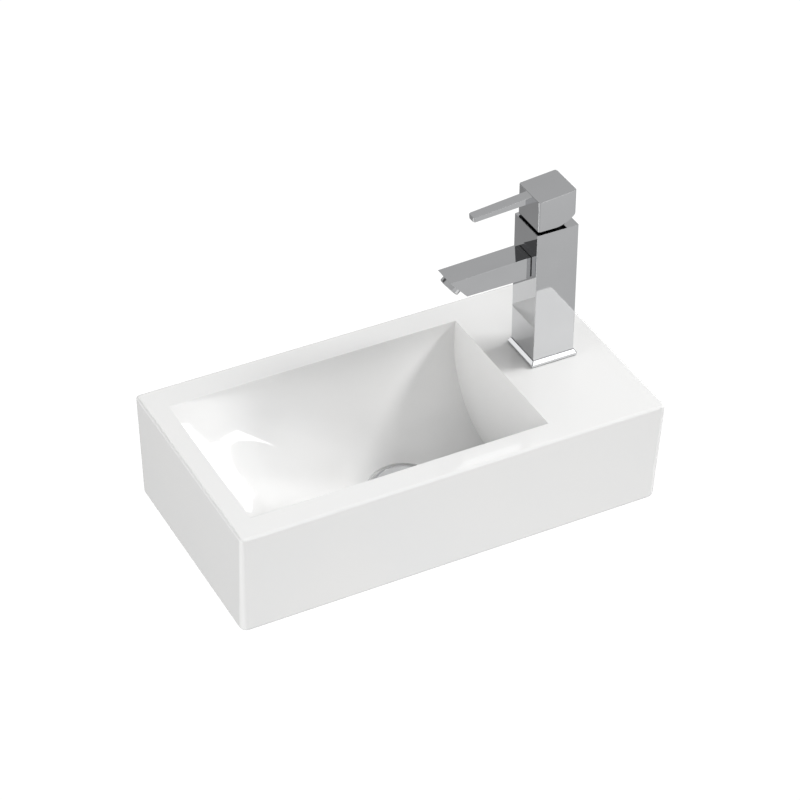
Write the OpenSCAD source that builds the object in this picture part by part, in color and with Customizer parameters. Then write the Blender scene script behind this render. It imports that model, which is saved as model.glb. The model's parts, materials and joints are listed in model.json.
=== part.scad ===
// Small rectangular wall-hung hand basin with a square single-lever mixer tap and a push-to-open waste.
// The back is the plane Y = 0, +Z is up, and the origin is the middle between the two wall-fixing holes.

/* [Basin] */
// Length of the basin, left to right
basin_l = 455; // [420:5:520]
// Depth of the basin, front to back
basin_w = 250; // [235:5:290]
// Height of the basin
basin_h = 120; // [110:2:150]
// How far each end leans in from top to bottom
end_draft = 1; // [0:0.5:4]
// How far the front leans in from top to bottom
front_draft = 8; // [0:1:12]
// Radius of the upright corners at the top
corner_r_top = 4.5; // [4:0.5:10]
// Radius of the upright corners at the bottom
corner_r_bottom = 8; // [6:0.5:14]
// Radius of the top edges
edge_r_top = 3; // [1:0.5:3.5]
// Radius of the bottom edges
edge_r_bottom = 5; // [2:0.5:5.5]
// Thickness of the outer walls
wall = 11; // [9:0.5:13]
// Thickness of the ledge that carries the tap
deck_t = 14; // [10:1:20]

/* [Bowl] */
// Width of the left ledge
ledge_left = 22; // [18:1:30]
// Width of the right ledge, which carries the tap
ledge_right = 117; // [110:1:130]
// Width of the front ledge
ledge_front = 27; // [22:1:34]
// Width of the back ledge
ledge_back = 32; // [28:1:40]
// Depth of the bowl below the ledges
bowl_depth = 92; // [80:1:96]
// Distance of the bowl's deepest line from the back
deep_line = 140; // [130:1:150]
// Lean of the right wall: how far it comes in for each unit of depth
right_lean = 0.15; // [0.05:0.01:0.3]
// Roundness of the front slope, where 2 is an ellipse and more is squarer
front_power = 2.5; // [2:0.1:3]
// Distance of the drain from the left end
drain_from_left = 222; // [200:1:240]
// Distance of the drain from the back
drain_from_back = 143; // [135:1:150]
// Thickness of the bowl's wall
bowl_wall = 11; // [9:0.5:13]
// How far the hollow's ramp starts before the bowl's
ramp_wall = 16.5; // [13:0.5:20]

/* [Fixing holes] */
// Distance between the two wall-fixing holes
fixing_spacing = 200; // [180:5:240]
// Height of the wall-fixing holes above the underside
fixing_h = 60; // [45:1:75]
// Diameter of the wall-fixing holes
fixing_d = 14; // [10:0.5:16]
// Diameter of the tap hole
tap_hole_d = 35; // [34:0.5:36]
// Distance of the tap from the right end
tap_from_right = 62.3; // [58:0.1:64]
// Distance of the tap from the back
tap_from_back = 113; // [95:1:135]

/* [Waste] */
// Diameter of the waste hole in the ceramic
waste_hole_d = 46; // [45:0.5:47]
// Depth of the flat seat below the bowl's floor
seat_drop = 3; // [2:0.5:4]
// Thickness of the ceramic at the seat
seat_t = 13; // [10:1:16]
// Diameter of the flat seat
seat_d = 72; // [70:1:80]
// Width of the blend around the seat
seat_fade = 28; // [15:1:40]
// Diameter of the waste flange
flange_d = 63; // [63:0.5:68]
// Thickness of the waste flange
flange_t = 3; // [2.5:0.5:4]
// Outside diameter of the tail thread
tail_d = 41.9; // [41:0.1:42.5]
// Wall of the tail
tail_wall = 2.4; // [2:0.1:3]
// Length of the tail below the flange
tail_l = 82; // [75:1:100]
// Length of the thread at the end that takes the trap
trap_thread_l = 20; // [12:1:30]
// Thickness of the gasket under the flange
top_gasket_t = 1.5; // [1:0.5:2.5]
// Outside diameter of the gasket, washer and nut below the ceramic
clamp_d = 62; // [58:1:66]
// Thickness of the tapered gasket below the ceramic
taper_gasket_t = 6; // [4:0.5:8]
// Height of the taper that enters the waste hole
taper_nose_h = 3; // [2:0.5:4]
// Thickness of the slip washer
slip_washer_t = 2; // [1:0.5:3]
// Width of the backnut across its flats
backnut_af = 52; // [50:1:56]
// Height of the backnut
backnut_t = 9; // [7:1:12]

/* [Plug] */
// Diameter of the plug's cap
cap_d = 57; // [52:0.5:57]
// Thickness of the cap at its rim
cap_t = 2.2; // [1.8:0.1:3]
// Height of the cap's crown above its rim
cap_crown = 1; // [0.5:0.1:2]
// Travel of the plug
plug_travel = 8; // [6:0.5:8.5]
// Diameter of the barrel
barrel_d = 14; // [13:0.5:16]
// Diameter of the sliding stem
plug_stem_d = 6; // [5:0.5:6.5]
// Wire diameter of the plug's spring
spring_wire_d = 1; // [0.8:0.1:1.1]
// Number of turns of the plug's spring
spring_turns = 3.5; // [3:0.5:4]

/* [Tap column] */
// Width of the square column
column_w = 45.5; // [44:0.5:50]
// Height of the column's top above the ledge
column_top = 155; // [145:1:180]
// Radius of the column's upright edges
column_r = 0.8; // [0.5:0.1:2]
// Width of the base plate
plate_w = 51.5; // [49:0.5:58]
// Height of the base plate's top above the ledge
plate_top = 7; // [6:0.5:9]
// Height of the base plate's upright side
plate_side_h = 3.2; // [2:0.2:4]
// Thickness of the gasket under the base plate
base_gasket_t = 0.8; // [0.5:0.1:1.5]
// How deep the column sits in the base plate
column_sunk = 4; // [3:0.5:4.5]

/* [Spout] */
// Width of the spout
spout_w = 26; // [24:0.5:30]
// Height of the spout at its root
spout_root_h = 24; // [22:0.5:26]
// Height of the spout at its tip
spout_tip_h = 20.8; // [20:0.2:22]
// Length of the spout along its top
spout_top_l = 89; // [85:1:110]
// Length of the spout along its underside
spout_under_l = 70.4; // [66.4:1:91.4]
// Height of the spout's underside above the ledge
spout_under_z = 101; // [95:1:105]
// Length of the slimmer neck at the spout's root
neck_l = 4.5; // [3:0.5:7]
// How much slimmer the neck is on each side
neck_step = 0.8; // [0.4:0.1:1.2]
// Thickness of the seal between column and spout
spout_seal_t = 0.8; // [0.5:0.1:1.5]
// Diameter of the aerator
aerator_d = 22; // [20:0.5:23]
// How far the aerator stands out of the slanted end
aerator_out = 5.5; // [3:0.5:7]

/* [Cartridge] */
// Diameter of the cartridge
cartridge_d = 35; // [34:0.5:36]
// Height of the cartridge's case from its base to its shoulder
cartridge_h = 25; // [25:0.5:27]
// Depth of the cartridge's shoulder below the column's top
shoulder_drop = 9; // [8.5:0.5:9.5]
// Depth of the lever's pivot below the column's top
pivot_drop = 5; // [4:0.5:5.5]
// Width of the square stem
stem_w = 8; // [7:0.5:8.5]
// Distance from the pivot down to the ball
ball_drop = 12; // [11.5:0.1:12.5]
// Radius of the dome over the nut
dome_r = 17.2; // [16.8:0.1:17.3]
// How far the lever lifts, in degrees
lift_angle = 23; // [15:1:23]

/* [Handle] */
// Width of the handle's square block
block_w = 41.2; // [40.8:0.2:45]
// Gap between the column's top and the block
block_gap = 2; // [1.5:0.1:4]
// Height of the block at its front edge
block_front_h = 33.4; // [32:0.2:40]
// Slope of the block's top and of the lever, in degrees
top_slope = 5.4; // [3:0.2:8]
// Radius of the block's upright edges
block_r = 2.5; // [1:0.5:4]
// Radius of the scoop under the back of the block
scoop_r = 32; // [28:0.5:33]
// Length of the lever beyond the block
lever_l = 63.5; // [50:0.5:90]
// Width of the lever at its root
lever_w_root = 12; // [10:0.5:16]
// Width of the lever at its tip
lever_w_tip = 10.6; // [9:0.2:16]
// Thickness of the lever at its root
lever_t_root = 7.6; // [6:0.2:9]
// Thickness of the lever at its tip
lever_t_tip = 6; // [5:0.2:8]
// Bevel along the lever's top edges
lever_bevel = 1.1; // [0.5:0.1:1.8]

/* [Tap fixing] */
// Diameter of the mounting stud
stud_d = 8; // [6:1:8]
// Length of the mounting stud below the ledge's top
stud_below = 55; // [45:1:60]
// Diameter of the horseshoe washers
horseshoe_d = 48; // [44:1:52]
// Thickness of the rubber horseshoe
horseshoe_rubber_t = 3; // [2:0.5:4]
// Thickness of the steel horseshoe
horseshoe_plate_t = 2; // [1.5:0.5:3]
// Width of the stud nut across its flats
stud_nut_af = 13; // [13:0.5:14]
// Height of the stud nut
stud_nut_h = 14; // [8:1:20]
// Diameter of the hose inlets
inlet_d = 9; // [8.5:0.1:9.5]
// Depth of the hose inlets
inlet_l = 12; // [8:1:15]

/* [Hidden] */

$fn = 48;

// Clearances that all the fits share
overrun = 1;            // how far a cut runs past what it cuts
thread_gap = 0.05;      // radial gap in a thread
run_gap = 0.06;         // radial gap of a shaft that turns or slides
slide_gap = 0.3;        // gap between pieces that move past each other
seat_gap = 0.1;         // gap of a piece dropped into its pocket

// Facets of the rounded edges and of the bowl
corner_steps = 5;
edge_steps = 4;
bowl_columns = 20;
bowl_rows = 26;
under_columns = 12;
under_rows = 16;
scoop_steps = 8;

// Heights, from the wall-fixing holes
under_z = -fixing_h;
rim_z = under_z + basin_h;
floor_z = rim_z - bowl_depth;

// Places, from the middle of the back
drain_x = -basin_l / 2 + drain_from_left;
drain_y = -drain_from_back;
tap_x = basin_l / 2 - tap_from_right;
tap_y = -tap_from_back;
bowl_left_x = -basin_l / 2 + ledge_left;
bowl_right_x = basin_l / 2 - ledge_right;
deep_y = -deep_line;

// The waste, stacked from the seat
seat_r = seat_d / 2;
seat_z = floor_z - seat_drop;
seat_under_z = seat_z - seat_t;
flange_z = seat_z + top_gasket_t;
tail_r = tail_d / 2;
tail_bore_r = tail_r - tail_wall;
tail_end_z = flange_z - tail_l;
flange_lip = 2.6;                                   // width of the raised rim around the cap
flange_recess = 1.6;                                // depth of the recess that the cap lies in
flange_top_z = flange_z + flange_t;
recess_z = flange_top_z - flange_recess;
recess_r = flange_d / 2 - flange_lip;
throat_r = 24;                                      // where the throat opens into the recess
throat_h = 2.7;                                     // height of the throat's slope
relief_w = 2;                                       // groove above the trap's thread
relief_depth = 0.9;
taper_gasket_z = seat_under_z - taper_gasket_t;
slip_washer_z = taper_gasket_z - slip_washer_t;
backnut_z = slip_washer_z - backnut_t;
nose_r = waste_hole_d / 2 - seat_gap;               // taper where it enters the waste hole

// The cross and the push mechanism
cross_h = 9;                                        // height of the cross inside the tail
cross_z = backnut_z;                                // underside of the cross
cross_t = 3;                                        // thickness of its arms
cross_arms = 3;
hub_r = 7;
barrel_thread_r = 4;
barrel_z = cross_z + cross_h;
barrel_floor = 2;                                   // thickness of the barrel's floor
barrel_lip = 1.5;                                   // thickness of the barrel's lip
barrel_wall = 1.8;
barrel_r = barrel_d / 2;
barrel_bore_r = barrel_r - barrel_wall;
cap_z = recess_z + slide_gap;
cap_boss_r = 6;
cap_boss_h = 2.8;
cap_skin = 1.2;                                     // metal left above the stem's thread
barrel_top_z = cap_z - cap_boss_h - slide_gap;
collar_t = 1.5;
collar_z = barrel_top_z - barrel_lip - slide_gap - plug_travel - collar_t;
spring_z = barrel_z + barrel_floor;
spring_room = 0.85;                                 // gap between the spring and the barrel's bore
spring_r = barrel_bore_r - spring_room - spring_wire_d / 2;
guide_r = spring_r - spring_wire_d / 2 - slide_gap;
seal_inner_r = 16;
seal_h = 2.8;

// The tap, measured up from the ledge
column_z = plate_top - column_sunk;
plate_hole_r = 18;
base_gasket_inset = 0.75;                           // how far the gasket lies inside the plate's edge
base_gasket_w = plate_w - 2 * base_gasket_inset;
base_gasket_hole_r = 19;
plate_flat = 0.55;                                  // flat left round the column at the plate's top
plate_bevel_w = column_w + 2 * plate_flat;
plate_r = 1.2;
shoulder_z = column_top - shoulder_drop;
cartridge_z = shoulder_z - cartridge_h;
seal_t = 1.2;                                       // thickness of the rings under the cartridge
seat_pocket_z = cartridge_z - seal_t;
pivot_z = column_top - pivot_drop;
nut_r = 19;                                         // radius of the nut's thread
cartridge_r = cartridge_d / 2;

// Ports of the cartridge: hot and cold towards the bowl, mixed behind them
port_r = 2.8;
port_x = 2;
port_y = 6.8;
mixed_x = -6;
ports = [[port_x, port_y], [port_x, -port_y], [mixed_x, 0]];
seal_ring_r = 5;
outlet_r = 3;                                       // bore that takes the mixed water to the spout
inlet_x = -2;
inlet_y = 8;

// The spout, with X measured out from the column's axis towards the bowl
spout_mid_z = spout_under_z + spout_root_h / 2;
spout_root_x = column_w / 2 + spout_seal_t;
spout_tip_x = column_w / 2 + spout_top_l;
spout_nose_x = column_w / 2 + spout_under_l;
end_run = spout_tip_x - spout_nose_x;
end_angle = atan2(spout_tip_h, end_run);            // slope of the slanted end
waterway_r = 5.5;
nipple_r = 6.5;
nipple_bore_r = 4.5;
nipple_in_spout = 12;
nipple_in_column = 5;
spout_plug_end = 17;                                // how far the waterway stops short of the tip
aerator_thread_r = 9;
aerator_thread_l = 3.6;
insert_r = 8;
insert_recess = 1;
insert_hole_r = 1;
insert_pitch = 3.4;

// The cartridge's inside
case_wall = 2.5;
case_floor = 3;
case_top_t = 2;                                     // thickness of the case's shoulder
neck_r = 14;                                        // outside of the case's neck
neck_wall = 1.3;
neck_h = 6;
case_bore_r = cartridge_r - case_wall;
fixed_disc_t = 4;
moving_disc_t = 4;
disc_travel = ball_drop * lift_angle * PI / 180;
moving_disc_x = -disc_travel / 2;                   // the disc rests behind the axis and ends in front of it
moving_disc_r = case_bore_r - disc_travel / 2 - 2 * slide_gap;
mix_pocket_depth = 2;
mix_pocket_r = 6.5;
mix_pocket_x = -5.5;
carrier_t = 3;
carrier_hub_r = 6;
fixed_disc_z = cartridge_z + case_floor;
disc_gap = 0.1;                                     // film between the two ceramic discs
moving_disc_z = fixed_disc_z + fixed_disc_t + disc_gap;
carrier_z = moving_disc_z + moving_disc_t;
swivel_below = 9;                                   // depth of the turret's foot below the pivot
swivel_z = pivot_z - swivel_below;
carrier_top_z = swivel_z - slide_gap - disc_gap;
ball_r = 3;
ball_z = pivot_z - ball_drop;
stem_neck_r = 2;
swivel_neck_r = neck_r - neck_wall - slide_gap;
swivel_flange_r = case_bore_r - slide_gap - seat_gap;
swivel_slot = 2 * (stem_w / 2 / cos(lift_angle) + pivot_drop * tan(lift_angle) + 2 * slide_gap);
pin_r = 1.5;
pin_inset = 0.6;                                    // how far the pin's ends lie inside the turret
pin_l = 2 * (swivel_neck_r - pin_inset);
stem_foot = 6;                                      // square part of the stem below the pivot
nut_h = 6;
nut_slot_w = 3;
nut_slot_depth = 2;
dome_t = 1;
dome_foot_h = 2.6;
dome_mouth_r = 13;

// The handle, with its cavity and socket
block_z = column_top + block_gap;
block_half = block_w / 2;
block_rise = block_half * tan(top_slope);
scoop_x = 4;                                        // where the scoop starts, in front of the axis
dome_gap = 0.7;                                     // gap between dome and handle
cavity_half = dome_r + dome_gap;
cavity_top_z = pivot_z + dome_r + 2 * dome_gap;
socket_l = 16;
stem_top_z = cavity_top_z + socket_l;
screw_z = cavity_top_z + socket_l / 2;
screw_r = 2.5;
screw_l = 8;
screw_key_af = 2.5;
screw_key_depth = 2.5;
cover_r = 3.5;
cover_t = 3;
cover_crown = 0.3;
tip_r = 2.5;

// The fixing under the ledge
stud_x = 10;                                        // stud's distance in front of the axis
stud_in_column = 15;
horseshoe_slot_x = 3;
horseshoe_slot_w = 30;

// Points of a rectangle with rounded corners, anticlockwise from its front right corner
function rounded_outline(x0, y0, x1, y1, r, steps) = [
    for (corner = [[x1 - r, y0 + r, 270], [x1 - r, y1 - r, 0], [x0 + r, y1 - r, 90], [x0 + r, y0 + r, 180]])
        for (k = [0:steps])
            let (a = corner[2] + 90 * k / steps)
            [corner[0] + r * cos(a), corner[1] + r * sin(a)]
];

function square_outline(w, r, steps) = rounded_outline(-w / 2, -w / 2, w / 2, w / 2, r, steps);

function at_height(outline, z) = [for (p = outline) [p[0], p[1], z]];

// Solid through a stack of rings that all have the same number of points
module loft(rings) {
    n = len(rings[0]);
    m = len(rings);
    points = [for (ring = rings) each ring];
    bottom = [[for (i = [0:n - 1]) i]];
    top = [[for (i = [n - 1:-1:0]) (m - 1) * n + i]];
    sides = [
        for (j = [0:m - 2])
            for (i = [0:n - 1])
                let (a = j * n + i, b = j * n + (i + 1) % n)
                each [[a, a + n, b + n], [a, b + n, b]]
    ];
    polyhedron(points, concat(bottom, sides, top), convexity = 6);
}

module at_drain() {
    translate([drain_x, drain_y, 0]) children();
}

// The tap's own frame: its axis on the ledge, with +X pointing over the bowl
module at_tap() {
    translate([tap_x, tap_y, rim_z]) rotate([0, 0, 180]) children();
}

module tube(r, bore_r, z, h) {
    translate([0, 0, z]) difference() {
        cylinder(r = r, h = h);
        translate([0, 0, -overrun]) cylinder(r = bore_r, h = h + 2 * overrun);
    }
}

module along_x(x, z) {
    translate([x, 0, z]) rotate([0, 90, 0]) children();
}

module hexagon_prism(af, h) {
    cylinder(r = af / sqrt(3), h = h, $fn = 6);
}

// Basin

// Heights and insets of the rounded bottom and top edges
function edge_profile() = concat(
    [for (k = [0:edge_steps])
        let (a = 90 * k / edge_steps)
        [edge_r_bottom * (1 - cos(a)), edge_r_bottom * (1 - sin(a))]],
    [for (k = [0:edge_steps])
        let (a = 90 * k / edge_steps)
        [basin_h - edge_r_top + edge_r_top * sin(a), edge_r_top * (1 - cos(a))]]
);

// Outline of the slab at a height h above its underside
function slab_outline(h, inset) =
    let (lean = 1 - h / basin_h,
         r = corner_r_top + (corner_r_bottom - corner_r_top) * lean)
    rounded_outline(
        -basin_l / 2 + end_draft * lean + inset,
        -basin_w + front_draft * lean + inset,
        basin_l / 2 - end_draft * lean - inset,
        -inset,
        r - inset, corner_steps);

module slab() {
    translate([0, 0, under_z])
        loft([for (e = edge_profile()) at_height(slab_outline(e[0], e[1]), e[0])]);
}

// Share of the bowl's depth across its width, for a row angle from -90 at the front to 90 at the back
function row_power(a) = a < 0 ? front_power : 2;
function row_reach_share(a) = sign(a) * pow(abs(sin(a)), 2 / row_power(a));
function row_depth_share(a) = pow(abs(cos(a)), 2 / row_power(a));

// Share of the bowl's depth along the ramp, which is full from the drain to the right wall
function ramp_depth_share(u) =
    let (t = min(max(u, 0), 1))
    t + t * t - t * t * t;

// Height of the floor, flattened round the seat of the waste
function blended(x, y, z) =
    let (t = min(max((norm([x - drain_x, y - drain_y]) - seat_r) / seat_fade, 0), 1),
         s = t * t * (3 - 2 * t))
    floor_z + (z - floor_z) * s;

// Solid with the bowl's shape
module bowl() {
    columns = bowl_columns;
    rows = bowl_rows;
    back_reach = -ledge_back - deep_y;
    front_reach = basin_w - ledge_front + deep_y;
    grid = [
        for (j = [0:rows])
            let (a = -90 + 180 * j / rows,
                 y = deep_y + row_reach_share(a) * (a < 0 ? front_reach : back_reach),
                 row_depth = bowl_depth * row_depth_share(a),
                 crease_x = bowl_right_x - right_lean * row_depth)
            for (i = [0:columns])
                let (x = bowl_left_x + (crease_x - bowl_left_x) * i / columns,
                     share = ramp_depth_share((x - bowl_left_x) / (drain_x - bowl_left_x)),
                     z = rim_z - row_depth * share)
                [x, y, min(z, blended(x, y, z))]
    ];
    n = columns + 1;
    corners = [0, columns, rows * n + columns, rows * n];
    base = len(grid);
    points = concat(grid, [for (k = corners) [grid[k][0], grid[k][1], rim_z + overrun]]);
    floor_faces = [
        for (j = [0:rows - 1])
            for (i = [0:columns - 1])
                let (a = j * n + i)
                each [[a, a + 1, a + n + 1], [a, a + n + 1, a + n]]
    ];
    wall_face = [[for (j = [rows:-1:0]) j * n + columns]];
    front = concat([base + 1], [for (i = [columns:-1:0]) i], [base]);
    right_side = [base + 2, corners[2], corners[1], base + 1];
    back_side = concat([base + 3], [for (i = [0:columns]) rows * n + i], [base + 2]);
    left_side = concat([base], [for (j = [0:rows]) j * n], [base + 3]);
    lid = [base + 3, base + 2, base + 1, base];
    polyhedron(
        points,
        concat(floor_faces, wall_face, [front, right_side, back_side, left_side, lid]),
        convexity = 6);
}

// Hollow below the bowl and the tap's ledge: its ceiling follows the bowl's wall, then the ledge
module hollow() {
    left_x = -basin_l / 2 + end_draft + wall;
    right_x = basin_l / 2 - end_draft - wall;
    ceiling_z = rim_z - deck_t;
    depth = bowl_depth + bowl_wall;
    ramp_x = bowl_left_x - ramp_wall;
    back_reach = -ledge_back - deep_y + bowl_wall;
    front_reach = basin_w - ledge_front + deep_y + bowl_wall;
    front_wall_y = -basin_w + front_draft + wall;
    first_share = min((deep_y - front_wall_y) / front_reach, 1);
    first_angle = -asin(pow(first_share, front_power / 2));
    steep_x = bowl_right_x + bowl_wall - right_lean * deck_t;
    angles = [for (j = [0:under_rows]) first_angle + (90 - first_angle) * j / under_rows];
    rows = concat(
        [for (a = angles)
            [deep_y + row_reach_share(a) * (a < 0 ? front_reach : back_reach), depth * row_depth_share(a)]],
        [[-wall, 0]]);
    grid = [
        for (row = rows)
            let (steep_run = right_lean * max(row[1] - deck_t, 0) + overrun)
            for (i = [0:under_columns + 2])
                let (x = i > under_columns + 1 ? right_x
                       : i > under_columns ? steep_x
                       : left_x + (steep_x - steep_run - left_x) * i / under_columns,
                     drop = i > under_columns ? 0
                          : row[1] * ramp_depth_share((x - ramp_x) / (drain_x - ramp_x)))
                [x, row[0], min(ceiling_z, rim_z - drop)]
    ];
    n = under_columns + 3;
    last = len(rows) - 1;
    loop = concat(
        [for (i = [0:n - 1]) i],
        [for (j = [1:last]) j * n + n - 1],
        [for (i = [n - 2:-1:0]) last * n + i],
        [for (j = [last - 1:-1:1]) j * n]);
    base = len(grid);
    m = len(loop);
    foot_z = under_z - overrun;
    points = concat(
        grid,
        [for (k = loop) [grid[k][0], grid[k][1], foot_z]],
        [[(left_x + right_x) / 2, deep_y, foot_z]]);
    ceiling = [
        for (j = [0:last - 1])
            for (i = [0:n - 2])
                let (a = j * n + i)
                each [[a, a + n + 1, a + 1], [a, a + n, a + n + 1]]
    ];
    sides = [
        for (k = [0:m - 1])
            let (k2 = (k + 1) % m)
            each [[loop[k], loop[k2], base + k2], [loop[k], base + k2, base + k]]
    ];
    foot = [for (k = [0:m - 1]) [base + m, base + k, base + (k + 1) % m]];
    polyhedron(points, concat(ceiling, sides, foot), convexity = 6);
}

// The hollow, less the thicker ring that carries the waste
module underside() {
    difference() {
        hollow();
        translate([drain_x, drain_y, seat_under_z]) cylinder(r = seat_r, h = bowl_depth);
    }
}

module basin() {
    color("white")
    difference() {
        slab();
        bowl();
        underside();
        at_drain() {
            translate([0, 0, seat_z]) cylinder(r = seat_r, h = bowl_depth / 2);
            translate([0, 0, under_z]) cylinder(r = waste_hole_d / 2, h = basin_h);
        }
        translate([tap_x, tap_y, rim_z - deck_t - overrun])
            cylinder(r = tap_hole_d / 2, h = deck_t + 2 * overrun);
        for (side = [-1, 1])
            translate([side * fixing_spacing / 2, overrun, 0])
                rotate([90, 0, 0])
                    cylinder(r = fixing_d / 2, h = wall + 2 * overrun);
    }
}

// Waste

module waste_body() {
    lip_r = flange_lip / 2;
    profile = concat(
        [[tail_bore_r, tail_end_z],
         [tail_r, tail_end_z],
         [tail_r, tail_end_z + trap_thread_l],
         [tail_r - relief_depth, tail_end_z + trap_thread_l],
         [tail_r - relief_depth, tail_end_z + trap_thread_l + relief_w],
         [tail_r, tail_end_z + trap_thread_l + relief_w],
         [tail_r, flange_z],
         [flange_d / 2, flange_z]],
        [for (k = [0:edge_steps])
            let (a = 90 * k / edge_steps)
            [flange_d / 2 - lip_r + lip_r * cos(a), flange_top_z - lip_r + lip_r * sin(a)]],
        [[recess_r, flange_top_z - flange_recess / 4],
         [recess_r, recess_z],
         [throat_r, recess_z],
         [tail_bore_r, recess_z - throat_h]]);
    arm_l = tail_bore_r + tail_wall / 2;
    color("silver")
    at_drain() {
        difference() {
            union() {
                rotate_extrude() polygon(profile);
                translate([0, 0, cross_z]) {
                    cylinder(r = hub_r, h = cross_h);
                    for (k = [0:cross_arms - 1])
                        rotate([0, 0, 360 * k / cross_arms])
                            translate([0, -cross_t / 2, 0])
                                cube([arm_l, cross_t, cross_h]);
                }
            }
            translate([0, 0, cross_z - overrun])
                cylinder(r = barrel_thread_r, h = cross_h + 2 * overrun);
        }
    }
}

module waste_top_gasket() {
    color("dimgray")
    at_drain() tube(flange_d / 2 - 2 * seat_gap, tail_r + seat_gap, seat_z, top_gasket_t);
}

module waste_taper_gasket() {
    inner_r = tail_r + seat_gap;
    outer_r = clamp_d / 2;
    color("dimgray")
    at_drain()
        rotate_extrude()
            polygon([
                [inner_r, taper_gasket_z],
                [outer_r, taper_gasket_z],
                [outer_r, seat_under_z - taper_gasket_t / 3],
                [outer_r - taper_gasket_t / 3, seat_under_z],
                [nose_r, seat_under_z],
                [(nose_r + inner_r) / 2, seat_under_z + taper_nose_h],
                [inner_r, seat_under_z + taper_nose_h]
            ]);
}

module waste_slip_washer() {
    color("whitesmoke")
    at_drain() tube(clamp_d / 2, tail_r + seat_gap, slip_washer_z, slip_washer_t);
}

// Hexagonal nut with its corners turned down at both ends
module chamfered_nut(af, bore_r, h) {
    corner_r = af / sqrt(3);
    chamfer = corner_r - af / 2;
    difference() {
        intersection() {
            hexagon_prism(af, h);
            rotate_extrude()
                polygon([
                    [0, 0],
                    [af / 2, 0],
                    [corner_r, chamfer / 2],
                    [corner_r, h - chamfer / 2],
                    [af / 2, h],
                    [0, h]
                ]);
        }
        translate([0, 0, -overrun]) cylinder(r = bore_r, h = h + 2 * overrun);
    }
}

module waste_backnut() {
    color("goldenrod")
    at_drain()
        translate([0, 0, backnut_z])
            chamfered_nut(backnut_af, tail_r + thread_gap, backnut_t);
}

// Plug

module click_barrel() {
    bore_top_z = barrel_top_z - barrel_lip;
    color("silver")
    at_drain()
        difference() {
            union() {
                translate([0, 0, cross_z]) cylinder(r = barrel_thread_r - thread_gap, h = cross_h);
                translate([0, 0, barrel_z]) cylinder(r = barrel_r, h = barrel_top_z - barrel_z);
            }
            translate([0, 0, spring_z]) cylinder(r = barrel_bore_r, h = bore_top_z - spring_z);
            translate([0, 0, spring_z]) cylinder(r = plug_stem_d / 2 + run_gap, h = basin_h);
        }
}

// One unbroken wire along a helix, with round section
module plug_spring() {
    sides = 6;
    steps_per_turn = 12;
    steps = spring_turns * steps_per_turn;
    wire_r = spring_wire_d / 2;
    rise = collar_z - spring_z - spring_wire_d;
    rings = [
        for (k = [0:steps])
            let (a = 360 * k / steps_per_turn, z = spring_z + wire_r + rise * k / steps)
            [for (s = [0:sides - 1])
                let (b = -360 * s / sides)
                [(spring_r + wire_r * cos(b)) * cos(a), (spring_r + wire_r * cos(b)) * sin(a),
                 z + wire_r * sin(b)]]
    ];
    color("lightsteelblue")
    at_drain() loft(rings);
}

module plug_stem() {
    color("gray")
    at_drain() {
        translate([0, 0, spring_z + slide_gap]) cylinder(r = guide_r, h = collar_z - spring_z);
        translate([0, 0, collar_z]) cylinder(r = barrel_bore_r - slide_gap, h = collar_t);
        translate([0, 0, collar_z + collar_t])
            cylinder(r = plug_stem_d / 2, h = cap_z + cap_t - cap_skin - collar_z - collar_t);
    }
}

module plug_cap() {
    rim_r = cap_t / 2;
    cap_r = cap_d / 2;
    crown_steps = 8;
    sphere_r = (cap_r * cap_r + cap_crown * cap_crown) / (2 * cap_crown);
    crown_z = cap_z + cap_t + cap_crown - sphere_r;
    crown = [
        for (k = [1:crown_steps])
            let (r = (cap_r - rim_r) * (1 - k / crown_steps))
            [r, crown_z + sqrt(sphere_r * sphere_r - r * r)]
    ];
    rim = [
        for (k = [0:edge_steps])
            let (a = 90 * k / edge_steps)
            [cap_r - rim_r + rim_r * cos(a), cap_z + cap_t - rim_r + rim_r * sin(a)]
    ];
    profile = concat(
        [[0, cap_z - cap_boss_h], [cap_boss_r, cap_z - cap_boss_h], [cap_boss_r, cap_z],
         [cap_r - rim_r / 2, cap_z], [cap_r, cap_z + rim_r / 2]],
        rim, crown);
    color("silver")
    at_drain()
        difference() {
            rotate_extrude($fn = 96) polygon(profile);
            translate([0, 0, cap_z - cap_boss_h - overrun])
                cylinder(r = plug_stem_d / 2 + thread_gap, h = cap_boss_h + overrun + cap_t - cap_skin);
        }
}

module plug_seal() {
    slope = throat_h / (throat_r - tail_bore_r);
    top_r = throat_r - 2 * slide_gap;
    foot_r = tail_bore_r - slide_gap;
    lift = slide_gap + seat_gap;
    color("dimgray")
    at_drain()
        rotate_extrude()
            polygon([
                [seal_inner_r, cap_z - seal_h + lift],
                [foot_r, recess_z - (throat_r - foot_r) * slope + lift],
                [top_r, recess_z - (throat_r - top_r) * slope + lift],
                [top_r, cap_z],
                [seal_inner_r, cap_z]
            ]);
}

// Tap column

module tap_base_gasket() {
    color("dimgray")
    at_tap()
        difference() {
            linear_extrude(height = base_gasket_t)
                polygon(square_outline(base_gasket_w, plate_r, corner_steps));
            translate([0, 0, -overrun]) cylinder(r = base_gasket_hole_r, h = base_gasket_t + 2 * overrun);
        }
}

module tap_base_plate() {
    pocket_w = column_w + 2 * seat_gap;
    color("silver")
    at_tap()
        difference() {
            loft([
                at_height(square_outline(plate_w, plate_r, corner_steps), base_gasket_t),
                at_height(square_outline(plate_w, plate_r, corner_steps), plate_side_h),
                at_height(square_outline(plate_bevel_w, column_r, corner_steps), plate_top)
            ]);
            translate([0, 0, column_z])
                linear_extrude(height = plate_top)
                    polygon(square_outline(pocket_w, column_r, corner_steps));
            cylinder(r = plate_hole_r, h = plate_top);
        }
}

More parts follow.
